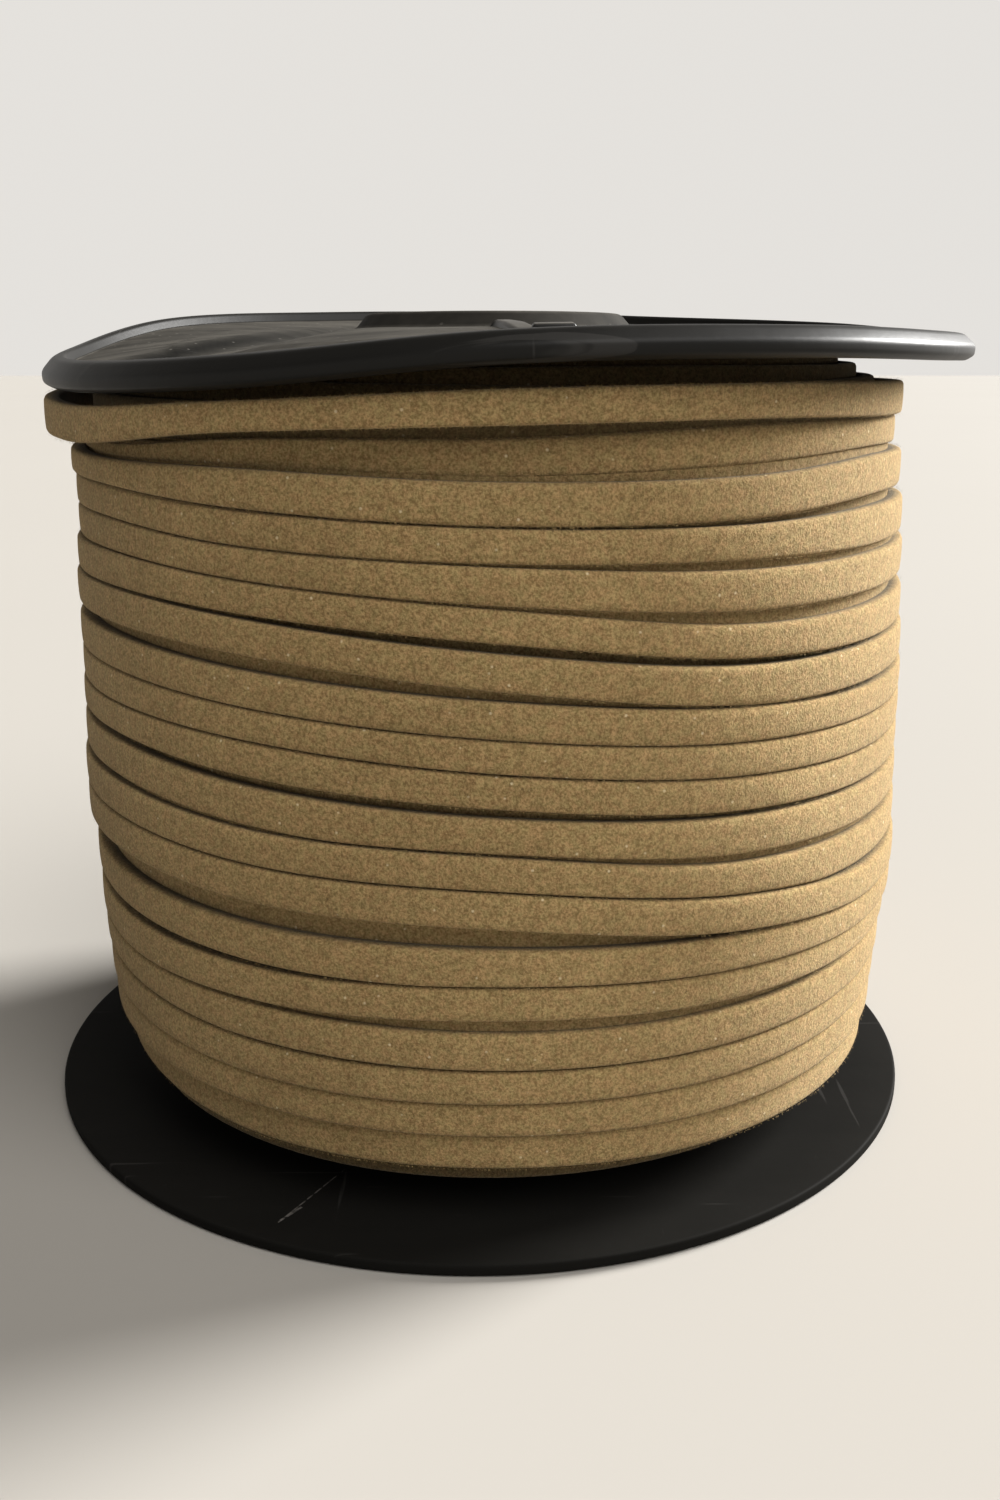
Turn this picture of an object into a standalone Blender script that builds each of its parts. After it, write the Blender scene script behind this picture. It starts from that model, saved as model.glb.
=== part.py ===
# Flat suede cord wound in level turns on a two-flanged plastic spool, standing on its lower flange.
# Metres, +Z up. The origin is on the spool's axis, at the underside of the lower flange.
# The front of the object faces -Y. Angles run round the axis from the front, positive to the right.

import math
from collections import namedtuple

import bmesh
import bpy

MM = 0.001

# Driving sizes, in millimetres
GAP = 0.3
CORD_WIDTH = 3.0
CORD_THICKNESS = 1.5
GROOVE_DEPTH = 0.85 * CORD_THICKNESS
EDGE_ROUND = 0.25

BORE_RADIUS = 9.2
CORE_OUTER_RADIUS = 11.5
CORE_INNER_RADIUS = 9.5

LOWER_RADIUS = 42.0
LOWER_THICKNESS = 1.0
LOWER_SHIFT = -1.3
LOWER_EDGE_ROUND = 0.3

UPPER_RADIUS = 41.45
UPPER_SHIFT = 1.3
UPPER_MID_HEIGHT = 70.5
UPPER_FLAT_RADIUS = 16.0
UPPER_WARP_POWER = 1.4

# Steps round the axis
WINDING_STEPS = 60
FLANGE_STEPS = 72
CORE_STEPS = 48

# Height of the upper flange's rim every 30 degrees from the front, first to the right
RIM_STEP_DEG = 30
RIM_HEIGHTS = (69.0, 69.4, 69.2, 69.4, 70.9, 71.9, 72.7, 72.5, 71.4, 68.0, 66.7, 67.2)

# The upper flange's section: radius, and height over its mid surface, once round from the bore's top
SectionPoint = namedtuple("SectionPoint", "radius rise")
UPPER_SECTION = (
    SectionPoint(BORE_RADIUS, 1.9),
    SectionPoint(11.6, 1.9),
    SectionPoint(12.8, 0.65),
    SectionPoint(30.6, 0.65),
    SectionPoint(31.6, 1.15),
    SectionPoint(39.4, 1.15),
    SectionPoint(40.6, 0.95),
    SectionPoint(41.25, 0.55),
    SectionPoint(UPPER_RADIUS, -0.05),
    SectionPoint(41.1, -0.6),
    SectionPoint(40.2, -0.75),
    SectionPoint(38.8, -0.4),
    SectionPoint(31.0, -0.4),
    SectionPoint(29.6, -0.65),
    SectionPoint(BORE_RADIUS, -0.65),
)

# Each turn's upper edge 60 degrees left, in front and 60 degrees right, and its outer radius on each side
Turn = namedtuple("Turn", "left front right out_left out_right")
SIDE_DEG = 60
TURNS = (
    Turn(65.0, 66.5, 66.7, 40.2, 36.9),
    Turn(62.1, 63.2, 64.0, 38.0, 36.4),
    Turn(61.0, 60.3, 61.6, 38.3, 37.3),
    Turn(58.9, 57.1, 57.2, 38.0, 37.7),
    Turn(56.3, 54.4, 53.6, 38.0, 38.0),
    Turn(53.6, 51.5, 49.7, 38.4, 38.2),
    Turn(50.7, 48.4, 46.1, 38.6, 38.4),
    Turn(47.0, 44.8, 42.4, 38.5, 38.4),
    Turn(43.9, 41.8, 39.8, 38.5, 38.4),
    Turn(41.0, 39.2, 36.8, 38.6, 38.4),
    Turn(38.0, 36.2, 33.9, 38.7, 38.5),
    Turn(34.3, 33.0, 30.2, 38.9, 38.8),
    Turn(31.2, 30.2, 26.6, 38.8, 38.7),
    Turn(26.0, 25.6, 23.6, 38.5, 38.4),
    Turn(21.9, 22.4, 21.0, 38.4, 38.1),
    Turn(18.7, 19.0, 18.2, 38.2, 37.9),
    Turn(15.7, 15.5, 15.3, 37.9, 37.8),
    Turn(12.7, 12.6, 12.5, 37.5, 37.5),
    Turn(9.6, 9.6, 9.5, 36.9, 36.9),
)
PACK_FOOT = Turn(6.4, 6.1, 6.0, 36.4, 36.4)

# At the back the turns lie level and evenly, between these two heights
BACK_TOP = 68.0
BACK_FOOT = 6.2

# The pack's hidden shoulders: how far each stands in from the outer face, and its rise or drop there
TOP_SHOULDER_IN = 8.0
TOP_SHOULDER_RISE = 1.2
TOP_INNER_HEIGHT = 69.2
FOOT_STEP_IN = 3.2
FOOT_STEP_DOWN = 2.4
FOOT_INNER_RADIUS = 29.5

COLLECTION = "suede_cord_on_spool"
CUTTERS = "cutters"


def clear_scene():
    for obj in list(bpy.data.objects):
        bpy.data.objects.remove(obj, do_unlink=True)


def make_collection(name):
    collection = bpy.data.collections.new(name)
    bpy.context.scene.collection.children.link(collection)
    return collection


def make_material(name, colour, roughness, metallic=0.0):
    material = bpy.data.materials.new(name)
    material.use_nodes = True
    shader = material.node_tree.nodes["Principled BSDF"]
    shader.inputs["Base Color"].default_value = (*colour, 1.0)
    shader.inputs["Roughness"].default_value = roughness
    shader.inputs["Metallic"].default_value = metallic
    material.diffuse_color = (*colour, 1.0)
    return material


def add_object(name, mesh, collection, material=None, smooth_deg=None):
    obj = bpy.data.objects.new(name, mesh)
    collection.objects.link(obj)
    if material:
        mesh.materials.append(material)
    if smooth_deg:
        mesh.shade_smooth()
        mesh.set_sharp_from_angle(angle=math.radians(smooth_deg))
    return obj


def on_circle(radius, angle, height, shift=0.0):
    """A point in metres at an angle from the front, on a circle whose middle is shifted along X."""
    return (
        (radius * math.sin(angle) + shift) * MM,
        -radius * math.cos(angle) * MM,
        height * MM,
    )


def ring_loft(name, section_at, steps):
    """One closed ring through the sections at equal steps round the axis."""
    work = bmesh.new()
    rings = []
    for step in range(steps):
        points = section_at(2.0 * math.pi * step / steps)
        rings.append([work.verts.new(point) for point in points])
    count = len(rings[0])
    for step, ring in enumerate(rings):
        following = rings[(step + 1) % steps]
        for i in range(count):
            j = (i + 1) % count
            work.faces.new((ring[i], ring[j], following[j], following[i]))
    bmesh.ops.recalc_face_normals(work, faces=work.faces)
    mesh = bpy.data.meshes.new(name)
    work.to_mesh(mesh)
    work.free()
    return mesh


def round_value(left, front, right, back, angle):
    """A smooth closed curve of height against angle through the four given values."""
    side = math.radians(SIDE_DEG)
    side_mean = (left + right) / 2.0
    twice = (0.75 * front + 0.25 * back - side_mean) / 1.5
    once = (front - back) / 2.0
    lean = (right - left) / (2.0 * math.sin(side))
    level = (front + back) / 2.0 - twice
    return level + lean * math.sin(angle) + once * math.cos(angle) + twice * math.cos(2.0 * angle)


def rim_height(angle):
    """The warped rim's height, a smooth closed curve through RIM_HEIGHTS."""
    count = len(RIM_HEIGHTS)
    place = (math.degrees(angle) % 360.0) / RIM_STEP_DEG
    first = int(place)
    part = place - first
    before, start, end, after = (RIM_HEIGHTS[(first + k) % count] for k in (-1, 0, 1, 2))
    slope_in = (end - before) / 2.0
    slope_out = (after - start) / 2.0
    square, cube = part ** 2, part ** 3
    return (
        (2.0 * cube - 3.0 * square + 1.0) * start
        + (cube - 2.0 * square + part) * slope_in
        + (3.0 * square - 2.0 * cube) * end
        + (cube - square) * slope_out
    )


def upper_mid_surface(radius, angle):
    """Height of the upper flange's mid surface: flat at the hub, following the warped rim outside."""
    reach = max(0.0, radius - UPPER_FLAT_RADIUS) / (UPPER_RADIUS - UPPER_FLAT_RADIUS)
    return UPPER_MID_HEIGHT + reach ** UPPER_WARP_POWER * (rim_height(angle) - UPPER_MID_HEIGHT)


def upper_section_at(angle):
    points = []
    for radius, rise in UPPER_SECTION:
        shift = UPPER_SHIFT * (radius - BORE_RADIUS) / (UPPER_RADIUS - BORE_RADIUS)
        points.append(on_circle(radius, angle, upper_mid_surface(radius, angle) + rise, shift))
    return points


def turn_edge(index, angle):
    """Height of a turn's upper edge; one past the last turn is the pack's foot."""
    row = TURNS[index] if index < len(TURNS) else PACK_FOOT
    back = BACK_TOP + (BACK_FOOT - BACK_TOP) * index / len(TURNS)
    return round_value(row.left, row.front, row.right, back, angle)


def turn_radius(index, angle):
    row = TURNS[index] if index < len(TURNS) else PACK_FOOT
    middle = (row.out_left + row.out_right) / 2.0
    return middle + (row.out_right - row.out_left) / 2.0 * math.sin(angle)


def winding_section_at(angle):
    """The pack's section: inner wall, top shoulder, one flat face and groove for each turn, stepped foot."""
    inner = CORE_OUTER_RADIUS + GAP
    top = turn_edge(0, angle)
    shoulder = turn_radius(0, angle) - TOP_SHOULDER_IN
    points = [(inner, TOP_INNER_HEIGHT), (shoulder, top + TOP_SHOULDER_RISE)]
    for index in range(len(TURNS)):
        radius = turn_radius(index, angle)
        upper = turn_edge(index, angle)
        groove = turn_edge(index + 1, angle)
        lower = max(upper - CORD_WIDTH, groove + EDGE_ROUND)
        points.append((radius, upper - EDGE_ROUND))
        points.append((radius, lower))
        if index + 1 < len(TURNS):
            meeting = min(radius, turn_radius(index + 1, angle))
            points.append((meeting - GROOVE_DEPTH, groove))
    foot = turn_edge(len(TURNS), angle)
    foot_radius = turn_radius(len(TURNS), angle)
    floor = LOWER_THICKNESS + GAP
    points.append((foot_radius - EDGE_ROUND, foot))
    points.append((foot_radius - FOOT_STEP_IN, foot - FOOT_STEP_DOWN))
    points.append((FOOT_INNER_RADIUS, floor))
    points.append((inner, floor))
    return [on_circle(radius, angle, height) for radius, height in points]


def make_winding(collection, material):
    mesh = ring_loft("winding", winding_section_at, WINDING_STEPS)
    return add_object("winding", mesh, collection, material)


def make_upper_flange(collection, material):
    mesh = ring_loft("flange_top", upper_section_at, FLANGE_STEPS)
    return add_object("flange_top", mesh, collection, material, smooth_deg=35)


def make_lower_flange(collection, cutters, material):
    bpy.ops.mesh.primitive_cylinder_add(
        vertices=FLANGE_STEPS,
        radius=LOWER_RADIUS * MM,
        depth=LOWER_THICKNESS * MM,
        location=(LOWER_SHIFT * MM, 0.0, LOWER_THICKNESS * MM / 2.0),
    )
    disc = bpy.context.object
    disc.name = "flange_bottom"
    disc.data.materials.append(material)
    move_to(disc, collection)

    bpy.ops.mesh.primitive_cylinder_add(
        vertices=CORE_STEPS,
        radius=BORE_RADIUS * MM,
        depth=LOWER_THICKNESS * 4.0 * MM,
        location=(0.0, 0.0, LOWER_THICKNESS * MM / 2.0),
    )
    bore = bpy.context.object
    bore.name = "lower_bore_cutter"
    bore.hide_render = True
    bore.display_type = "WIRE"
    move_to(bore, cutters)

    cut = disc.modifiers.new("bore", "BOOLEAN")
    cut.operation = "DIFFERENCE"
    cut.object = bore
    edge = disc.modifiers.new("edge", "BEVEL")
    edge.width = LOWER_EDGE_ROUND * MM
    edge.segments = 2
    edge.limit_method = "ANGLE"
    edge.angle_limit = math.radians(60)
    return disc


def make_core(collection, material):
    """The barrel between the flanges, a turned tube."""
    foot = (LOWER_THICKNESS + GAP) * MM
    head = (UPPER_MID_HEIGHT + UPPER_SECTION[-1].rise - GAP) * MM
    outer = CORE_OUTER_RADIUS * MM
    inner = CORE_INNER_RADIUS * MM
    corners = [(inner, head), (outer, head), (outer, foot), (inner, foot)]
    mesh = bpy.data.meshes.new("core_tube")
    mesh.from_pydata([(x, 0.0, z) for x, z in corners], [(0, 1), (1, 2), (2, 3), (3, 0)], [])
    core = add_object("core_tube", mesh, collection, material)
    turn = core.modifiers.new("turn", "SCREW")
    turn.axis = "Z"
    turn.steps = CORE_STEPS
    turn.render_steps = CORE_STEPS
    turn.use_merge_vertices = True
    turn.merge_threshold = 0.0001
    return core


def move_to(obj, collection):
    for other in list(obj.users_collection):
        other.objects.unlink(obj)
    collection.objects.link(obj)


def main():
    clear_scene()
    parts = make_collection(COLLECTION)
    cutters = make_collection(CUTTERS)
    suede = make_material("tan_suede", (0.26, 0.18, 0.085), 0.95)
    black = make_material("black_plastic", (0.012, 0.012, 0.011), 0.38)
    hidden = make_material("core_plastic", (0.02, 0.02, 0.018), 0.5)
    make_winding(parts, suede)
    make_upper_flange(parts, black)
    make_lower_flange(parts, cutters, black)
    make_core(parts, hidden)


main()
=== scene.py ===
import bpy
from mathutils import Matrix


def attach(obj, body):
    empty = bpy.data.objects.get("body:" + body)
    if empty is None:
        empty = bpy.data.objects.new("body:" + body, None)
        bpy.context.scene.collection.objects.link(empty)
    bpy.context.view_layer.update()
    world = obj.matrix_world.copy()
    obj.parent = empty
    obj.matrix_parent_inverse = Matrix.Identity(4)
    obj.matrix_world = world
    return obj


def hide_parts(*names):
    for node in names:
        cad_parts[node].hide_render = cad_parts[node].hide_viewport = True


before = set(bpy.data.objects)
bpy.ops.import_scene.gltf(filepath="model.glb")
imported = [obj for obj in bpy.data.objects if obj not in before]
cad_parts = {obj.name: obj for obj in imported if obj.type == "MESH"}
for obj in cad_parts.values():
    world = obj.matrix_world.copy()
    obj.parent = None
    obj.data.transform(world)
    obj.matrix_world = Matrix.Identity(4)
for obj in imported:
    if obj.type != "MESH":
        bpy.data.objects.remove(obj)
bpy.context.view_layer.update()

import math
import random

import bmesh
import bpy
from mathutils import Vector

bl_info = {
    "name": "Suede Cord Spool",
    "version": (1, 0, 0),
    "blender": (4, 5, 0),
    "location": "3D View > Sidebar > Cord Spool",
    "description": "Winds flat suede cord on a two-flanged plastic spool and sets it on a pale floor",
    "category": "Add Mesh",
}

MM = 0.001

# The tables below are in millimetres and degrees. Angles run round the axis from the front,
# positive to the right.
FULL_TURN = 360.0
HALF_TURN = 180.0

# The angles at which the cord's turns are given
KEY_ANGLES = (-60, -30, 0, 30, 60)
RADIUS_ANGLES = (-75, 0, 75)

# A row for each turn from the top: upper edge at each key angle, open gap under it there,
# and outer radius at the left, in front and at the right
TURNS = (
    ((65.0, 65.6, 66.5, 66.8, 66.7), (0.08, 0.50, 0.95, 0.50, 0.08), (40.2, 39.0, 37.0)),
    ((62.0, 62.9, 63.1, 63.8, 63.9), (0.08, 0.08, 0.15, 0.70, 0.55), (37.0, 36.5, 36.5)),
    ((60.9, 60.8, 60.2, 60.2, 61.0), (0.12, 0.15, 0.15, 0.30, 0.30), (38.3, 38.2, 37.2)),
    ((58.8, 57.8, 57.0, 56.7, 57.0), (0.08, 0.10, 0.20, 0.70, 0.50), (38.0, 38.2, 37.6)),
    ((56.2, 55.1, 54.3, 53.4, 53.3), (0.08, 0.10, 0.25, 1.00, 0.80), (38.0, 38.3, 37.8)),
    ((53.5, 52.6, 51.3, 49.3, 49.1), (0.15, 0.35, 0.70, 0.50, 0.25), (38.3, 38.2, 38.0)),
    ((50.6, 49.8, 48.1, 46.2, 45.9), (0.90, 1.20, 0.75, 0.15, 0.10), (38.5, 38.5, 38.2)),
    ((46.8, 45.9, 44.6, 43.0, 42.3), (0.08, 0.08, 0.08, 0.08, 0.08), (38.5, 38.4, 38.4)),
    ((43.8, 43.0, 41.7, 40.2, 39.7), (0.10, 0.12, 0.12, 0.10, 0.10), (38.5, 38.4, 38.4)),
    ((40.9, 40.4, 39.1, 37.5, 36.8), (0.60, 0.75, 0.70, 0.40, 0.30), (38.6, 38.4, 38.4)),
    ((37.8, 36.9, 35.8, 34.4, 33.8), (0.12, 0.10, 0.20, 0.60, 0.50), (38.7, 38.5, 38.5)),
    ((34.2, 33.5, 32.9, 30.7, 30.1), (0.12, 0.12, 0.12, 0.12, 0.10), (38.9, 38.7, 38.6)),
    ((31.1, 30.6, 30.1, 27.9, 26.4), (2.20, 2.10, 1.80, 0.40, 0.15), (38.9, 38.8, 38.8)),
    ((25.9, 25.5, 25.4, 24.6, 23.4), (0.08, 0.08, 0.12, 0.10, 0.08), (38.4, 38.4, 38.7)),
    ((21.9, 21.9, 22.3, 21.6, 20.9), (0.15, 0.45, 1.15, 0.85, 0.50), (38.3, 38.3, 38.3)),
    ((18.6, 18.6, 18.4, 18.2, 18.1), (0.40, 0.20, 0.12, 0.10, 0.08), (38.1, 38.1, 38.0)),
    ((15.5, 15.2, 15.1, 14.9, 15.0), (0.08, 0.08, 0.10, 0.08, 0.06), (37.9, 37.9, 37.8)),
    ((12.3, 12.1, 12.2, 12.0, 12.0), (0.28, 0.22, 0.10, 0.06, 0.06), (37.6, 37.5, 37.6)),
    ((9.0, 9.0, 9.2, 8.9, 8.8), (0.00, 0.00, 0.00, 0.00, 0.00), (36.4, 36.8, 37.0)),
)
# How deep the layer beneath lies under each turn's gap
GAP_DEPTHS = (
    2.6, 0.9, 1.2, 0.85, 0.8, 2.4, 1.2, 1.5, 1.5, 1.6,
    0.85, 1.2, 1.45, 1.3, 0.95, 1.3, 1.2, 1.2, 1.2,
)
# The lower edge of the last turn at the key angles
FOOT_EDGE = (6.2, 5.8, 5.7, 5.4, 5.2)
# How the turns pass behind the spool, where the photograph doesn't show them
BACK_TOP = 68.0
BACK_FOOT = 6.2
BACK_GAP = 0.12
START_GAP = 0.1
START_RADIUS = 38.2

# The widest that a pressed turn lies, as a share of the cord's width
PRESSED_WIDTH = 1.04
# How far the cord's face falls away towards its edges
CROWN = 0.07
# The cord's two ends sink this deep into the pack, over one part in this many of a turn
TUCK_DEPTH = 3.4
TUCK_PARTS = 9

# Inner turns that the shoulders of the pack leave bare: outer radius, height of the middle
TOP_INNER_TURNS = ((36.1, 64.0), (34.5, 65.2), (32.9, 66.3), (31.3, 67.0), (29.7, 67.3))
FOOT_INNER_TURNS = ((35.1, 5.7), (33.5, 4.8), (31.9, 4.0), (30.4, 3.4))
# How far the inner turns keep below the upper flange's middle surface
BELOW_FLANGE = 2.6
# The pack behind the turns: radius, height
PACK_BEHIND = (
    (11.9, 67.4), (27.0, 66.0), (33.8, 61.0), (35.4, 40.0), (34.6, 10.0), (30.4, 3.0), (30.0, 1.4),
    (11.9, 1.4),
)

# The upper flange's rim height every 30 degrees from the front, first to the right
RIM_HEIGHTS = (69.0, 69.4, 69.2, 69.4, 70.9, 71.9, 72.7, 72.5, 71.4, 68.0, 66.7, 67.2)
RIM_STEP_DEG = 30
UPPER_RADIUS = 41.45
UPPER_SHIFT = 1.3
UPPER_MID_HEIGHT = 70.5
UPPER_FLAT_RADIUS = 16.0
UPPER_WARP_POWER = 1.4
BORE_RADIUS = 9.2
LOWER_RADIUS = 42.0
LOWER_SHIFT = -1.3
LOWER_THICKNESS = 1.0

# The upper flange's section as radius and height over its middle surface, and the rounding of its corners
HUB_RING = ((BORE_RADIUS, 1.9), (11.6, 1.9), (12.8, 0.55))
HUB_ROUNDS = (0.25, 0.35, 0.4)
RIM_ROLL = (
    (38.9, 0.35), (39.4, 1.30), (40.5, 1.25), (UPPER_RADIUS, 0.35), (41.40, -0.45), (40.7, -0.95),
    (39.6, -0.95), (38.9, -0.45),
)
RIM_ROUNDS = (0.15, 0.3, 0.35, 0.3, 0.25, 0.3, 0.3)
WEB_START = 14.5
WEB_STEP = 0.7
WEB_ROWS = 34
WEB_THICK_TO = 30.5
WEB_TOP_INNER = 0.5
WEB_TOP_OUTER = 0.35
WEB_FOOT = -0.4
BORE_FOOT = -0.65
# Inside this radius the upper side is the dusty web, and outside it the rim
WEB_EDGE = 39.1

# The rib beside the hub and the arch: size, edge rounding, and the shares of width and height
# that are left at the top and at its front
RIB = ((2.6, 18.0, 0.8), 0.32, (0.6, 0.5))
ARCH = ((3.3, 2.0, 0.85), 0.22, (0.92, 1.0))
ARCH_HOLLOW = ((2.6, 2.8, 0.6), 0.15, (0.94, 1.0))
RIB_PLACE = (1.5, -21.5)
RIB_TURN = 0.08
ARCH_PLACE = (4.0, -33.2)
ARCH_TURN = 0.0

# Scratches on the lower flange seen from above: middle x and y, angle in degrees, length, width
LOWER_SCRATCHES = (
    (-15.4, -31.9, 59.5, 9.4, 0.13), (-16.9, -34.7, 52.0, 2.4, 0.24),
)

# The fold across the upper flange, seen from above: x, y and how far the flange drops in front of it
CREASE = (
    (-33.0, -24.0, 0.7), (-30.4, -16.0, 1.1), (-26.5, -9.0, 1.1), (-22.5, 0.0, 0.9),
    (-19.0, 12.0, 0.7), (-16.0, 23.0, 0.5), (-12.5, 35.0, 0.2),
)
CREASE_HALF_WIDTH = 1.9
# The fold fades out between these distances: behind the fold, towards the rim and towards the hub
CREASE_TAIL = (4.0, 17.0)
CREASE_RIM_FADE = (38.2, 39.2)
CREASE_HUB_FADE = (13.5, 18.0)

# The camera fitted to the photograph, in metres and radians, with the long side of its picture in millimetres
CAMERA_PLACE = (-0.0013, -0.1399, 0.0685)
CAMERA_TURN = (math.pi / 2.0 - 0.263, 0.0, -0.014)
CAMERA_LONG_SIDE = 36.0


class CordSettings(bpy.types.PropertyGroup):
    width: bpy.props.FloatProperty(
        name="Width", description="Width of the flat cord", default=0.003, unit="LENGTH")
    thickness: bpy.props.FloatProperty(
        name="Thickness", description="Thickness of the flat cord", default=0.0015, unit="LENGTH")
    edge_radius: bpy.props.FloatProperty(
        name="Edge Radius", description="Rounding of the cord's cut edges", default=0.00032, unit="LENGTH")
    steps: bpy.props.IntProperty(
        name="Steps per Turn", description="Sections modelled in each turn", default=200, min=24)
    fibres: bpy.props.IntProperty(
        name="Fibres", description="Loose fibres along the cut edges", default=60000, min=0)
    dark: bpy.props.FloatVectorProperty(
        name="Dark Nap", description="Colour in the hollows of the nap", subtype="COLOR",
        default=(0.152, 0.100, 0.041), min=0.0, max=1.0)
    light: bpy.props.FloatVectorProperty(
        name="Light Nap", description="Colour of the raised fibres", subtype="COLOR",
        default=(0.312, 0.217, 0.101), min=0.0, max=1.0)


class SpoolSettings(bpy.types.PropertyGroup):
    black: bpy.props.FloatVectorProperty(
        name="Plastic", description="Colour of the moulded plastic", subtype="COLOR",
        default=(0.0065, 0.0062, 0.0055), min=0.0, max=1.0)
    dust: bpy.props.FloatVectorProperty(
        name="Dust", description="Colour of the dust on the flanges", subtype="COLOR",
        default=(0.19, 0.175, 0.15), min=0.0, max=1.0)
    steps: bpy.props.IntProperty(
        name="Steps", description="Steps round each flange", default=240, min=24)


class StageSettings(bpy.types.PropertyGroup):
    floor: bpy.props.FloatVectorProperty(
        name="Floor", description="Colour of the floor", subtype="COLOR",
        default=(0.300, 0.285, 0.262), min=0.0, max=1.0)
    room: bpy.props.FloatProperty(
        name="Room", description="Brightness of the room level with the spool", default=0.78, min=0.0)
    ceiling: bpy.props.FloatProperty(
        name="Ceiling", description="Brightness of the room overhead", default=0.12, min=0.0)
    key_power: bpy.props.FloatProperty(
        name="Key Light", description="Strength of the soft light at the right and behind",
        default=13.5, min=0.0)
    fill_power: bpy.props.FloatProperty(
        name="Fill Light", description="Strength of the soft light in front at the right",
        default=2.8, min=0.0)
    focal_length: bpy.props.FloatProperty(
        name="Focal Length", description="Focal length on a 36 mm long side", default=34.92, unit="CAMERA")


def deselect_all():
    if bpy.context.object and bpy.context.object.mode != "OBJECT":
        bpy.ops.object.mode_set(mode="OBJECT")
    bpy.ops.object.select_all(action="DESELECT")


def finish_piece(piece, slot, *nodes):
    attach(piece, "root")
    if nodes:
        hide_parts(*nodes)


def hermite(start, end, slope_in, slope_out, part):
    square, cube = part ** 2, part ** 3
    return (
        (2.0 * cube - 3.0 * square + 1.0) * start
        + (cube - 2.0 * square + part) * slope_in
        + (3.0 * square - 2.0 * cube) * end
        + (cube - square) * slope_out
    )


class SmoothLine:
    """A smooth curve through values at rising places."""

    def __init__(self, places, values):
        self.places = places
        self.values = values

    def slope(self, i):
        low = max(0, i - 1)
        high = min(len(self.places) - 1, i + 1)
        return (self.values[high] - self.values[low]) / (self.places[high] - self.places[low])

    def at(self, place):
        i = 0
        while i < len(self.places) - 2 and place > self.places[i + 1]:
            i += 1
        span = self.places[i + 1] - self.places[i]
        part = min(1.0, max(0.0, (place - self.places[i]) / span))
        return hermite(
            self.values[i], self.values[i + 1],
            self.slope(i) * span, self.slope(i + 1) * span, part)


def closed_line(values, step, place):
    """A smooth closed curve through values at equal steps."""
    count = len(values)
    first = int((place % (count * step)) / step)
    part = (place % (count * step)) / step - first
    before, start, end, after = (values[(first + k) % count] for k in (-1, 0, 1, 2))
    return hermite(start, end, (end - before) / 2.0, (after - start) / 2.0, part)


def wound_lines():
    """The outer turns as one helix: upper edge, gap and radius against the angle from the first front."""
    pitch = (BACK_TOP - BACK_FOOT) / len(TURNS)
    places = [-HALF_TURN]
    edges = [BACK_TOP + pitch / 2.0]
    gaps = [START_GAP]
    radius_places = [-HALF_TURN]
    radii = [START_RADIUS]
    for index, (upper, gap, radius) in enumerate(TURNS):
        centre = FULL_TURN * index
        places += [centre + angle for angle in KEY_ANGLES] + [centre + HALF_TURN]
        edges += list(upper) + [BACK_TOP - pitch * (index + 0.5)]
        gaps += list(gap) + [BACK_GAP]
        following = TURNS[min(index + 1, len(TURNS) - 1)][2]
        radius_places += [centre + angle for angle in RADIUS_ANGLES] + [centre + HALF_TURN]
        radii += list(radius) + [(radius[2] + following[0]) / 2.0]
    last = FULL_TURN * len(TURNS)
    places += [last + angle for angle in KEY_ANGLES] + [last + HALF_TURN]
    edges += list(FOOT_EDGE) + [BACK_FOOT]
    gaps += [0.0] * (len(KEY_ANGLES) + 1)
    return SmoothLine(places, edges), SmoothLine(places, gaps), SmoothLine(radius_places, radii)


def wander(seed, reach):
    """A slow, even wander of a value with the angle, always the same for one seed."""
    draw = random.Random(seed)
    waves = [(draw.uniform(0.4, 4.5), draw.uniform(0.0, 6.28), draw.uniform(0.3, 1.0)) for _ in range(7)]
    total = sum(wave[2] for wave in waves)
    return lambda angle: reach * sum(
        size * math.sin(rate * angle + shift) for rate, shift, size in waves) / total


def cord_section(edge_share, thickness_share):
    """Half-width places and depths round the cord's section, from -0.5 to 0.5 and 0 to 1."""
    points = []
    across = 0.5 - edge_share
    deep = thickness_share
    corners = ((across, deep, 0), (across, 1.0 - deep, 1), (-across, 1.0 - deep, 2), (-across, deep, 3))
    for corner_u, corner_v, turn in corners:
        for part in (0.0, 0.5, 1.0):
            angle = math.pi / 2.0 * (turn + part)
            points.append((corner_u + edge_share * math.sin(angle), corner_v - deep * math.cos(angle)))
        if turn == 1:
            points.append((0.0, 1.0))
    points += [(-0.22, 0.0), (0.0, 0.0), (0.22, 0.0)]
    return points


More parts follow.
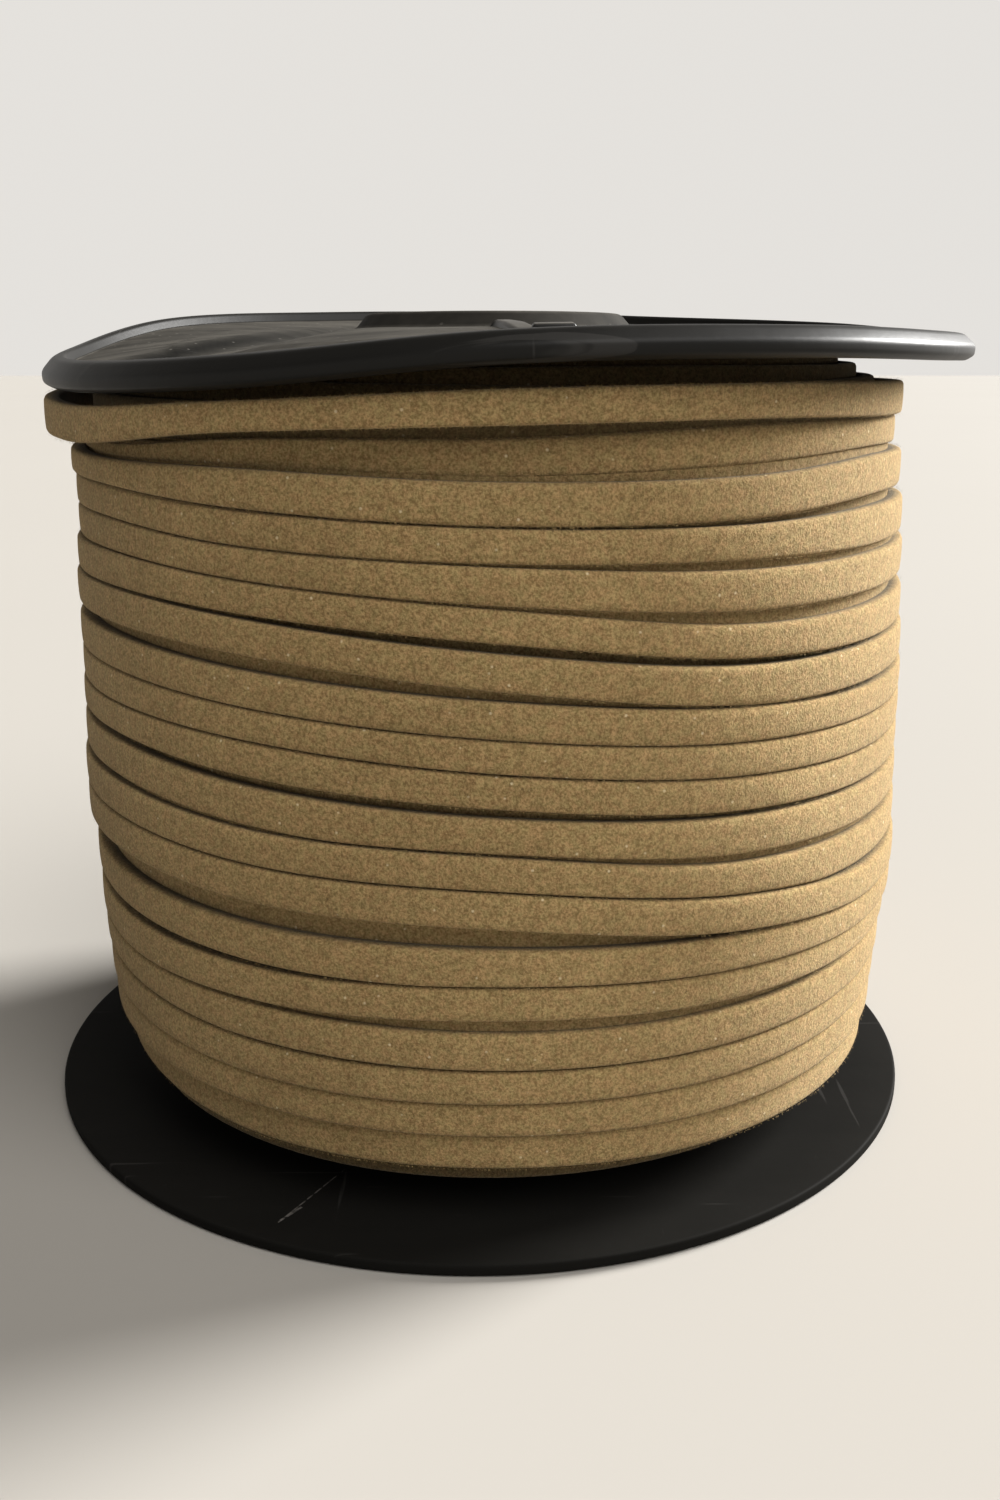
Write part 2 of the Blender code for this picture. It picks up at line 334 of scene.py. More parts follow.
def lay_cord(name, places, settings, closed=False):
    """Flat cord through a list of places: angle, outer radius, height of the middle, width, tilt."""
    work = bmesh.new()
    uv = work.loops.layers.uv.new("along")
    section = cord_section(settings.edge_radius / settings.width, settings.edge_radius / settings.thickness)
    depth = settings.thickness / MM
    rings = []
    length = 0.0
    lengths = []
    last = None
    for angle, radius, height, width, tilt in places:
        ring = []
        for u, v in section:
            out = radius - v * depth + tilt * u * width
            out -= CROWN * (2.0 * u) ** 2 * (1.0 - v)
            ring.append(work.verts.new((
                out * math.sin(angle) * MM, -out * math.cos(angle) * MM, (height + u * width) * MM)))
        here = Vector((radius * math.sin(angle), -radius * math.cos(angle), height)) * MM
        length += (here - last).length if last else 0.0
        last = here
        rings.append(ring)
        lengths.append(length)
    count = len(section)
    pairs = list(zip(range(len(rings) - 1), range(1, len(rings))))
    if closed:
        pairs.append((len(rings) - 1, 0))
        lengths.append(length + length / len(rings))
    for a, b in pairs:
        far = lengths[b] if b else lengths[-1]
        for i in range(count):
            j = (i + 1) % count
            face = work.faces.new((rings[a][i], rings[b][i], rings[b][j], rings[a][j]))
            face.smooth = True
            corners = ((lengths[a], i), (far, i), (far, j), (lengths[a], j))
            for loop, (along, point) in zip(face.loops, corners):
                # The second value is the depth into the cord's section, which drives the painted shade on the
                # cord's sides and back.
                loop[uv].uv = (along / (settings.width * 4.0), section[point][1])
    if not closed:
        work.faces.new(list(reversed(rings[0])))
        work.faces.new(rings[-1])
    bmesh.ops.recalc_face_normals(work, faces=work.faces)
    mesh = bpy.data.meshes.new(name)
    work.to_mesh(mesh)
    work.free()
    piece = bpy.data.objects.new(name, mesh)
    bpy.context.scene.collection.objects.link(piece)
    return piece


def join_pieces(name, pieces):
    deselect_all()
    for piece in pieces:
        piece.select_set(True)
    bpy.context.view_layer.objects.active = pieces[0]
    bpy.ops.object.join()
    pieces[0].name = name
    pieces[0].data.name = name
    return pieces[0]


class Finish:
    """A material's nodes, added one at a time."""

    def __init__(self, name):
        self.material = bpy.data.materials.new(name)
        self.material.use_nodes = True
        self.nodes = self.material.node_tree.nodes
        self.links = self.material.node_tree.links
        self.shader = self.nodes["Principled BSDF"]
        self.place = self.nodes.new("ShaderNodeTexCoord").outputs["Object"]

    def link(self, output, target):
        self.links.new(output, target)

    def noise(self, scale, detail, rough, stretch=None):
        node = self.nodes.new("ShaderNodeTexNoise")
        node.inputs["Scale"].default_value = scale
        node.inputs["Detail"].default_value = detail
        node.inputs["Roughness"].default_value = rough
        source = self.place
        if stretch:
            mapping = self.nodes.new("ShaderNodeMapping")
            mapping.inputs["Scale"].default_value = stretch
            self.link(source, mapping.inputs["Vector"])
            source = mapping.outputs["Vector"]
        self.link(source, node.inputs["Vector"])
        return node.outputs["Fac"]

    def spots(self, scale):
        node = self.nodes.new("ShaderNodeTexVoronoi")
        node.inputs["Scale"].default_value = scale
        self.link(self.place, node.inputs["Vector"])
        return node.outputs["Distance"]

    def ramp(self, source, *stops):
        node = self.nodes.new("ShaderNodeValToRGB")
        while len(node.color_ramp.elements) < len(stops):
            node.color_ramp.elements.new(0.5)
        for element, (place, colour) in zip(node.color_ramp.elements, stops):
            element.position = place
            element.color = (*colour, 1.0) if hasattr(colour, "__len__") else (colour, colour, colour, 1.0)
        self.link(source, node.inputs["Fac"])
        return node.outputs["Color"]

    def mix(self, factor, first, second, blend="MIX"):
        node = self.nodes.new("ShaderNodeMix")
        node.data_type = "RGBA"
        node.blend_type = blend
        for value, target in ((factor, "Factor"), (first, "A"), (second, "B")):
            self.feed(value, node.inputs[target])
        return node.outputs["Result"]

    def math(self, operation, *values):
        node = self.nodes.new("ShaderNodeMath")
        node.operation = operation
        for value, target in zip(values, node.inputs):
            self.feed(value, target)
        return node.outputs["Value"]

    def feed(self, value, target):
        if isinstance(value, bpy.types.NodeSocket):
            self.link(value, target)
        elif target.type == "RGBA":
            target.default_value = (*value, 1.0)
        else:
            target.default_value = value

    def bump(self, height, strength, distance, normal=None):
        node = self.nodes.new("ShaderNodeBump")
        node.inputs["Strength"].default_value = strength
        node.inputs["Distance"].default_value = distance
        self.link(height, node.inputs["Height"])
        if normal:
            self.link(normal, node.inputs["Normal"])
        return node.outputs["Normal"]

    def facing_up(self):
        geometry = self.nodes.new("ShaderNodeNewGeometry")
        split = self.nodes.new("ShaderNodeSeparateXYZ")
        self.link(geometry.outputs["Normal"], split.inputs["Vector"])
        return split.outputs["Z"]


# The shade value scales the whole suede colour: below one it paints shade onto a darker copy, above one it
# makes a lighter copy.
def suede_finish(name, settings, shade=1.0):
    finish = Finish(name)
    grain = finish.noise(5200.0, 3.0, 0.75)
    fibre = finish.noise(2600.0, 4.0, 0.7)
    mottle = finish.noise(700.0, 3.0, 0.6)
    drift = finish.noise(60.0, 2.0, 0.5)
    dark = tuple(value * shade for value in settings.dark)
    light = tuple(value * shade for value in settings.light)
    nap = finish.math("ADD", finish.math("MULTIPLY", grain, 0.55), finish.math("MULTIPLY", fibre, 0.45))
    middle = tuple((a + b) / 2.0 for a, b in zip(dark, light))
    base = finish.ramp(nap, (0.40, dark), (0.50, middle), (0.60, light))
    base = finish.mix(0.40, base, finish.ramp(mottle, (0.30, 0.80), (0.70, 1.18)), "MULTIPLY")
    cloud = finish.ramp(drift, (0.30, (0.86, 0.84, 0.80)), (0.70, (1.12, 1.13, 1.10)))
    base = finish.mix(0.45, base, cloud, "MULTIPLY")
    tint = finish.ramp(finish.noise(1500.0, 3.0, 0.7), (0.38, (0.95, 1.02, 0.96)), (0.62, (1.06, 0.98, 0.98)))
    base = finish.mix(0.8, base, tint, "MULTIPLY")
    dark_specks = finish.ramp(finish.spots(900.0), (0.055, 1.0), (0.12, 0.0))
    base = finish.mix(finish.math("MULTIPLY", dark_specks, 0.45), base, tuple(value * 0.35 for value in dark))
    light_specks = finish.ramp(finish.spots(640.0), (0.045, 1.0), (0.09, 0.0))
    pale = (0.72 * shade, 0.62 * shade, 0.42 * shade)
    base = finish.mix(finish.math("MULTIPLY", light_specks, 0.40), base, pale)
    # Painted shade: the colour is darkened with the depth into the cord's section, so the sides and back of
    # each turn, seen only in the gaps between turns, read dark.
    depth = finish.nodes.new("ShaderNodeUVMap")
    depth.uv_map = "along"
    split = finish.nodes.new("ShaderNodeSeparateXYZ")
    finish.link(depth.outputs["UV"], split.inputs["Vector"])
    base = finish.mix(1.0, base, finish.ramp(split.outputs["Y"], (0.16, 1.0), (0.60, 0.24)), "MULTIPLY")
    finish.link(base, finish.shader.inputs["Base Color"])
    finish.shader.inputs["Roughness"].default_value = 0.95
    finish.shader.inputs["Specular IOR Level"].default_value = 0.12
    finish.shader.inputs["Sheen Weight"].default_value = 0.12
    finish.shader.inputs["Sheen Roughness"].default_value = 0.45
    finish.shader.inputs["Sheen Tint"].default_value = (0.95, 0.86, 0.68, 1.0)
    coarse = finish.bump(mottle, 0.35, 0.00030)
    fine = finish.bump(nap, 0.75, 0.00022, coarse)
    finish.link(fine, finish.shader.inputs["Normal"])
    return finish.material


def scratch_mask(finish, x, y, turn, length, width):
    """One where a scratch lies, seen from above: its middle, the way it runs, its length and its width."""
    mapping = finish.nodes.new("ShaderNodeMapping")
    mapping.vector_type = "TEXTURE"
    mapping.inputs["Location"].default_value = (x * MM, y * MM, 0.0)
    mapping.inputs["Rotation"].default_value = (0.0, 0.0, math.radians(turn))
    finish.link(finish.place, mapping.inputs["Vector"])
    split = finish.nodes.new("ShaderNodeSeparateXYZ")
    finish.link(mapping.outputs["Vector"], split.inputs["Vector"])
    along = finish.math("LESS_THAN", finish.math("ABSOLUTE", split.outputs["X"]), length * MM / 2.0)
    across = finish.math("LESS_THAN", finish.math("ABSOLUTE", split.outputs["Y"]), width * MM / 2.0)
    broken = finish.ramp(finish.noise(1300.0, 2.0, 0.5), (0.40, 0.0), (0.55, 1.0))
    return finish.math("MULTIPLY", finish.math("MULTIPLY", along, across), broken)


def plastic_finish(name, settings, dusty, roughness, gloss, scratches=()):
    finish = Finish(name)
    cloud = finish.noise(55.0, 6.0, 0.62)
    fine = finish.noise(900.0, 4.0, 0.65)
    up = finish.ramp(finish.facing_up(), (0.55, 0.0), (0.95, 1.0))
    fold = finish.nodes.new("ShaderNodeAttribute")
    fold.attribute_name = "fold"
    streaks = finish.noise(70.0, 3.0, 0.6, stretch=(1.0, 5.0, 1.0))
    dust = finish.math(
        "MULTIPLY",
        finish.ramp(cloud, (0.30, 0.45), (0.72, 1.0)),
        finish.ramp(fine, (0.30, 0.75), (0.70, 1.0)))
    dust = finish.math("MULTIPLY", dust, finish.ramp(streaks, (0.36, 0.55), (0.60, 1.0)))
    # Painted shade: the dust is taken away along the fold's wall, so the crease shows as a dark line.
    dust = finish.math("MULTIPLY", dust, finish.math("SUBTRACT", 1.0, fold.outputs["Fac"]))
    dust = finish.math("MULTIPLY", finish.math("MULTIPLY", dust, up), dusty)
    motes = finish.ramp(finish.spots(520.0), (0.05, 1.0), (0.10, 0.0))
    scratch_a = finish.noise(38.0, 3.0, 0.55, stretch=(1.0, 26.0, 1.0))
    scratch_b = finish.noise(30.0, 3.0, 0.55, stretch=(22.0, 1.3, 1.0))
    lines = finish.math(
        "ADD",
        finish.ramp(scratch_a, (0.675, 0.0), (0.70, 1.0)),
        finish.ramp(scratch_b, (0.68, 0.0), (0.705, 1.0)))
    colour = finish.mix(dust, settings.black, settings.dust)
    motes = finish.math("MULTIPLY", motes, finish.math("MULTIPLY", up, 0.35 * dusty))
    colour = finish.mix(motes, colour, (0.5, 0.47, 0.42))
    colour = finish.mix(finish.math("MULTIPLY", lines, 0.06), colour, (0.20, 0.19, 0.18))
    for scratch in scratches:
        mask = finish.math("MULTIPLY", scratch_mask(finish, *scratch), 0.5)
        colour = finish.mix(mask, colour, (0.13, 0.12, 0.11))
    finish.link(colour, finish.shader.inputs["Base Color"])
    rough = finish.math("ADD", finish.math("MULTIPLY", cloud, 0.22), roughness - 0.11)
    rough = finish.math("ADD", rough, finish.math("MULTIPLY", dust, 0.5))
    finish.link(rough, finish.shader.inputs["Roughness"])
    finish.shader.inputs["Specular IOR Level"].default_value = gloss
    wavy = finish.bump(finish.noise(30.0, 2.0, 0.5), 0.25, 0.0006)
    pitted = finish.bump(fine, 0.25, 0.00006, wavy)
    finish.link(pitted, finish.shader.inputs["Normal"])
    return finish.material


def spun_disc(name, profile, steps):
    """A closed profile of radius and height spun once round the axis."""
    points = [(radius * MM, 0.0, height * MM) for radius, height in profile]
    edges = [(i, (i + 1) % len(points)) for i in range(len(points))]
    mesh = bpy.data.meshes.new(name)
    mesh.from_pydata(points, edges, [])
    piece = bpy.data.objects.new(name, mesh)
    bpy.context.scene.collection.objects.link(piece)
    deselect_all()
    piece.select_set(True)
    bpy.context.view_layer.objects.active = piece
    bpy.ops.object.mode_set(mode="EDIT")
    bpy.ops.mesh.select_all(action="SELECT")
    bpy.ops.mesh.spin(steps=steps, angle=2.0 * math.pi, center=(0.0, 0.0, 0.0), axis=(0.0, 0.0, 1.0))
    bpy.ops.mesh.select_all(action="SELECT")
    bpy.ops.mesh.remove_doubles(threshold=0.000005)
    bpy.ops.mesh.normals_make_consistent(inside=False)
    bpy.ops.object.mode_set(mode="OBJECT")
    bpy.ops.object.shade_smooth_by_angle(angle=math.radians(38))
    return piece


def rounded(points, rounds):
    """A profile with each numbered corner replaced by a short curve that starts so far from it."""
    out = []
    count = len(points)
    for i, point in enumerate(points):
        reach = rounds.get(i, 0.0)
        here = Vector(point)
        if not reach:
            out.append(tuple(here))
            continue
        back = (Vector(points[i - 1]) - here).normalized()
        ahead = (Vector(points[(i + 1) % count]) - here).normalized()
        for part in (0.0, 0.25, 0.5, 0.75, 1.0):
            start = here + back * reach
            end = here + ahead * reach
            out.append(tuple(start * (1 - part) ** 2 + here * 2 * part * (1 - part) + end * part ** 2))
    return out


def upper_mid_surface(radius, angle):
    reach = max(0.0, radius - UPPER_FLAT_RADIUS) / (UPPER_RADIUS - UPPER_FLAT_RADIUS)
    rim = closed_line(RIM_HEIGHTS, RIM_STEP_DEG, math.degrees(angle))
    return UPPER_MID_HEIGHT + min(1.0, reach) ** UPPER_WARP_POWER * (rim - UPPER_MID_HEIGHT)


def eased(low, high, value):
    part = min(1.0, max(0.0, (value - low) / (high - low)))
    return part * part * (3.0 - 2.0 * part)


def crease_at(x, y):
    """How far the fold lowers the upper flange at a place seen from above, and how much painted shade darkens
    it there, most where it is steepest.
    """
    place = Vector((x, y))
    nearest, side, depth = 1000.0, 0.0, 0.0
    for (x_a, y_a, drop_a), (x_b, y_b, drop_b) in zip(CREASE, CREASE[1:]):
        start, along = Vector((x_a, y_a)), Vector((x_b - x_a, y_b - y_a))
        part = min(1.0, max(0.0, (place - start).dot(along) / along.length_squared))
        offset = place - (start + along * part)
        if offset.length < nearest:
            nearest = offset.length
            side = 1.0 if along.y * offset.x - along.x * offset.y > 0.0 else -1.0
            depth = drop_a + part * (drop_b - drop_a)
    distance = side * nearest
    inside = 1.0 - eased(*CREASE_RIM_FADE, math.hypot(x - UPPER_SHIFT, y))
    beyond_hub = eased(*CREASE_HUB_FADE, math.hypot(x, y))
    wall = eased(-CREASE_HALF_WIDTH, CREASE_HALF_WIDTH, distance)
    drop = depth * wall * (1.0 - eased(*CREASE_TAIL, distance)) * inside * beyond_hub
    fold_shade = math.exp(-((distance / CREASE_HALF_WIDTH) ** 2)) * inside * beyond_hub * min(1.0, depth)
    return drop, fold_shade


def upper_place(radius, angle, rise):
    """A point of the warped upper flange, in millimetres."""
    shift = UPPER_SHIFT * (radius - BORE_RADIUS) / (UPPER_RADIUS - BORE_RADIUS)
    x, y = shift + radius * math.sin(angle), -radius * math.cos(angle)
    return Vector((x, y, upper_mid_surface(radius, angle) + rise - crease_at(x, y)[0]))


class SPOOL_OT_outer_turns(bpy.types.Operator):
    """Wind the outer turns of flat cord"""
    bl_idname = "spool.outer_turns"
    bl_label = "Outer Turns"

    def execute(self, context):
        settings = context.scene.spool_cord
        edge, gap, radius = wound_lines()
        tilt = wander(11, 0.035)
        sway = wander(12, 0.06)
        places = []
        count = settings.steps * len(TURNS)
        for step in range(count + 1):
            degrees = -HALF_TURN + FULL_TURN * step / settings.steps
            upper = edge.at(degrees)
            lower = edge.at(degrees + FULL_TURN) + gap.at(degrees)
            angle = math.radians(degrees)
            width = min(settings.width / MM * PRESSED_WIDTH, upper - lower)
            places.append((angle, radius.at(degrees) + sway(angle), upper - width / 2.0, width, tilt(angle)))
        tuck = settings.steps // TUCK_PARTS
        for index in range(tuck):
            share = eased(0.0, 1.0, 1.0 - index / tuck)
            for end in (index, -1 - index):
                angle, out, height, width, lean = places[end]
                places[end] = (angle, out - TUCK_DEPTH * share, height, width, lean)
        turns = lay_cord("suede_outer_turns", places, settings)
        turns.data.materials.append(suede_finish("suede_nap", settings))
        finish_piece(turns, "suede", "winding")
        return {"FINISHED"}


class SPOOL_OT_nap_fibres(bpy.types.Operator):
    """Raise short loose fibres along the cord's cut edges"""
    bl_idname = "spool.nap_fibres"
    bl_label = "Nap Fibres"

    def execute(self, context):
        settings = context.scene.spool_cord
        edge, gap, radius = wound_lines()
        draw = random.Random(7)
        points, faces = [], []
        for _ in range(settings.fibres):
            degrees = draw.uniform(10.0 - HALF_TURN, FULL_TURN * len(TURNS) - HALF_TURN - 10.0)
            upper = edge.at(degrees)
            lower = edge.at(degrees + FULL_TURN)
            width = min(settings.width / MM * PRESSED_WIDTH, upper - lower - gap.at(degrees))
            end = draw.choice((0.0, 1.0))
            angle = math.radians(degrees)
            out = Vector((math.sin(angle), -math.cos(angle), 0.0))
            along = Vector((math.cos(angle), math.sin(angle), 0.0))
            rise = Vector((0.0, 0.0, 1.0 - 2.0 * end))
            inward = draw.uniform(0.02, 0.30)
            root = out * (radius.at(degrees) - inward)
            root.z = upper - end * width - rise.z * max(0.0, 0.10 - inward)
            lean = rise * draw.uniform(0.4, 1.0)
            lean += along * draw.uniform(-0.9, 0.9)
            lean += out * draw.uniform(-0.1, 0.6)
            tip = root + lean.normalized() * draw.uniform(0.10, 0.30)
            half = along * draw.uniform(0.015, 0.028)
            first = len(points)
            points += [(root - half) * MM, (root + half) * MM, tip * MM]
            faces.append((first, first + 1, first + 2))
        mesh = bpy.data.meshes.new("suede_nap_fibres")
        mesh.from_pydata(points, [], faces)
        mesh.uv_layers.new(name="along")
        fibres = bpy.data.objects.new("suede_nap_fibres", mesh)
        context.scene.collection.objects.link(fibres)
        fibres.data.materials.append(suede_finish("suede_fibre", settings, 1.1))
        finish_piece(fibres, "suede")
        return {"FINISHED"}


class SPOOL_OT_under_layer(bpy.types.Operator):
    """Wind the layer beneath, each turn nested behind a gap of the outer turns"""
    bl_idname = "spool.under_layer"
    bl_label = "Under Layer"

    def execute(self, context):
        settings = context.scene.spool_cord
        edge, gap, radius = wound_lines()
        recess = SmoothLine([FULL_TURN * index for index in range(len(GAP_DEPTHS))], GAP_DEPTHS)
        tilt = wander(21, 0.02)
        sway = wander(22, 0.05)
        places = []
        count = settings.steps * (len(TURNS) - 1)
        for step in range(count + 1):
            degrees = -HALF_TURN + FULL_TURN * step / settings.steps
            angle = math.radians(degrees)
            height = edge.at(degrees + FULL_TURN) + gap.at(degrees) / 2.0
            out = (radius.at(degrees) + radius.at(degrees + FULL_TURN)) / 2.0
            out = out - recess.at(max(0.0, degrees)) + sway(angle)
            places.append((angle, out, height, settings.width / MM, tilt(angle)))
        under = lay_cord("suede_under_layer", places, settings)
        # Painted shade: the layer beneath gets the suede colour darkened to nine tenths, for the shade it
        # lies in behind the outer turns.
        under.data.materials.append(suede_finish("suede_nap_under_painted_shade", settings, 0.9))
        finish_piece(under, "suede")
        return {"FINISHED"}


class SPOOL_OT_inner_turns(bpy.types.Operator):
    """Wind the inner turns that show at the pack's shoulders, and the pack behind them"""
    bl_idname = "spool.inner_turns"
    bl_label = "Inner Turns"

    def execute(self, context):
        settings = context.scene.spool_cord
        steps = settings.steps // 2
        pieces = []
        # The last value is how far a turn rises towards the back
        rows = [(radius, height, 1.0) for radius, height in TOP_INNER_TURNS]
        rows += [(radius, height, 0.0) for radius, height in FOOT_INNER_TURNS]
        for index, (radius, height, lift) in enumerate(rows):
            sway = wander(40 + index, 0.25)
            places = []
            for step in range(steps):
                angle = 2.0 * math.pi * step / steps
                middle = height + sway(math.sin(angle)) + lift * (0.5 - 0.5 * math.cos(angle))
                if lift:
                    middle = min(middle, upper_place(radius, angle, -BELOW_FLANGE).z)
                places.append((angle, radius, middle, settings.width / MM, 0.02))
            pieces.append(lay_cord(f"turn_{index}", places, settings, closed=True))
        inner = spun_disc("pack_behind", PACK_BEHIND, steps)
        inner.data.uv_layers.new(name="along")
        pieces.append(inner)
        turns = join_pieces("suede_inner_turns", pieces)
        turns.data.materials.clear()
        # Painted shade: the inner turns and the pack behind them get the suede colour darkened to about a
        # third, so the gaps at the pack's shoulders read dark.
        turns.data.materials.append(suede_finish("suede_nap_inner_painted_shade", settings, 0.34))
        finish_piece(turns, "suede")
        return {"FINISHED"}


class SPOOL_OT_upper_flange(bpy.types.Operator):
    """Mould the thin warped upper flange with its raised rim and hub ring"""
    bl_idname = "spool.upper_flange"
    bl_label = "Upper Flange"

    def execute(self, context):
        settings = context.scene.spool_plastic
        rows = [WEB_START + WEB_STEP * i for i in range(WEB_ROWS)]
        corners = list(HUB_RING)
        corners += [(radius, WEB_TOP_INNER if radius < WEB_THICK_TO else WEB_TOP_OUTER) for radius in rows]
        rounds = dict(enumerate(HUB_ROUNDS))
        rounds.update(enumerate(RIM_ROUNDS, start=len(corners)))
        corners += RIM_ROLL
        corners += [(radius, WEB_FOOT) for radius in reversed(rows)]
        corners += [(BORE_RADIUS, BORE_FOOT)]
        disc = spun_disc("upper_flange", rounded(corners, rounds), settings.steps)
        # The fold attribute holds where painted shade darkens the fold's wall in the upper flange's finish.
        fold = []
        for vertex in disc.data.vertices:
            radius = math.hypot(vertex.co.x, vertex.co.y) / MM
            angle = math.atan2(vertex.co.x, -vertex.co.y)
            place = upper_place(radius, angle, vertex.co.z / MM)
            vertex.co = place * MM
            fold.append(crease_at(place.x, place.y)[1])
        fold_shade_mask = disc.data.attributes.new("fold", "FLOAT", "POINT")
        fold_shade_mask.data.foreach_set("value", fold)
        disc.data.materials.append(plastic_finish(
            "black_plastic_rim", settings, dusty=0.03, roughness=0.44, gloss=0.12))
        disc.data.materials.append(plastic_finish(
            "black_plastic_upper_fold_shade", settings, dusty=0.42, roughness=0.70, gloss=0.03))
        for face in disc.data.polygons:
            centre = face.center / MM
            if math.hypot(centre.x - UPPER_SHIFT, centre.y) < WEB_EDGE and face.normal.z > 0.2:
                face.material_index = 1
        finish_piece(disc, "flange_plastic", "flange_top")
        return {"FINISHED"}


class SPOOL_OT_cord_slot(bpy.types.Operator):
    """Add the small rib beside the hub and the low arch that would hold the cord's end"""
    bl_idname = "spool.cord_slot"
    bl_label = "Cord Slot"

    def execute(self, context):
        settings = context.scene.spool_plastic
        rib = self.shaped_block("rib", *RIB)
        arch = self.shaped_block("arch", *ARCH)
        self.hollow(arch)
        for piece, (x, y), turn in ((rib, RIB_PLACE, RIB_TURN), (arch, ARCH_PLACE, ARCH_TURN)):
            for vertex in piece.data.vertices:
                local = vertex.co / MM
                px = x + local.x * math.cos(turn) - local.y * math.sin(turn)
                py = y + local.x * math.sin(turn) + local.y * math.cos(turn)
                radius, angle = math.hypot(px, py), math.atan2(px, -py)
                vertex.co = Vector((px, py, upper_mid_surface(radius, angle) + WEB_TOP_OUTER + local.z)) * MM
        slot = join_pieces("cord_slot", [rib, arch])
        slot.data.materials.clear()
        slot.data.materials.append(plastic_finish(
            "black_plastic_slot", settings, dusty=0.5, roughness=0.45, gloss=0.2))
        finish_piece(slot, "flange_plastic")
        return {"FINISHED"}

    def shaped_block(self, name, size, bevel, taper):
        deselect_all()
        bpy.ops.mesh.primitive_cube_add(size=1.0)
        block = bpy.context.object
        block.name = name
        for vertex in block.data.vertices:
            top = vertex.co.z > 0.0
            narrow = taper[0] if top else 1.0
            low = taper[1] if top and vertex.co.y < 0.0 else 1.0
            vertex.co = Vector((
                vertex.co.x * size[0] * narrow, vertex.co.y * size[1],
                (vertex.co.z + 0.5) * size[2] * low)) * MM
        bpy.ops.object.mode_set(mode="EDIT")
        bpy.ops.mesh.select_all(action="SELECT")
        bpy.ops.mesh.bevel(offset=bevel * MM, segments=4, affect="EDGES")
        bpy.ops.mesh.subdivide(number_cuts=1)
        bpy.ops.object.mode_set(mode="OBJECT")
        bpy.ops.object.shade_smooth_by_angle(angle=math.radians(50))
        return block

    def hollow(self, arch):
        cutter = self.shaped_block("hollow", *ARCH_HOLLOW)
        cut = arch.modifiers.new("hollow", "BOOLEAN")
        cut.operation = "DIFFERENCE"
        cut.solver = "EXACT"
        cut.object = cutter
        deselect_all()
        arch.select_set(True)
        bpy.context.view_layer.objects.active = arch
        bpy.ops.object.modifier_apply(modifier=cut.name)
        bpy.data.objects.remove(cutter)


class SPOOL_OT_lower_flange(bpy.types.Operator):
    """Mould the thin flat lower flange on which the spool stands"""
    bl_idname = "spool.lower_flange"
    bl_label = "Lower Flange"

    def execute(self, context):
        settings = context.scene.spool_plastic
        corners = [
            (BORE_RADIUS, LOWER_THICKNESS), (14.0, LOWER_THICKNESS), (28.0, LOWER_THICKNESS),
            (38.0, LOWER_THICKNESS), (LOWER_RADIUS, LOWER_THICKNESS), (LOWER_RADIUS, 0.0), (BORE_RADIUS, 0.0),
        ]
        disc = spun_disc("lower_flange", rounded(corners, {0: 0.2, 4: 0.3, 5: 0.25, 6: 0.2}), settings.steps)
        for vertex in disc.data.vertices:
            radius = math.hypot(vertex.co.x, vertex.co.y) / MM
            vertex.co.x += LOWER_SHIFT * MM * (radius - BORE_RADIUS) / (LOWER_RADIUS - BORE_RADIUS)
        disc.data.materials.append(plastic_finish(
            "black_plastic_lower", settings, dusty=0.01, roughness=0.62, gloss=0.015,
            scratches=LOWER_SCRATCHES))
        finish_piece(disc, "flange_plastic", "flange_bottom")
        return {"FINISHED"}


class SPOOL_OT_barrel(bpy.types.Operator):
    """Finish the barrel between the flanges"""
    bl_idname = "spool.barrel"
    bl_label = "Barrel"

    def execute(self, context):
        settings = context.scene.spool_plastic
        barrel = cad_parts["core_tube"]
        barrel.data.materials.clear()
        barrel.data.materials.append(plastic_finish(
            "black_plastic_barrel", settings, dusty=0.1, roughness=0.5, gloss=0.3))
        return {"FINISHED"}


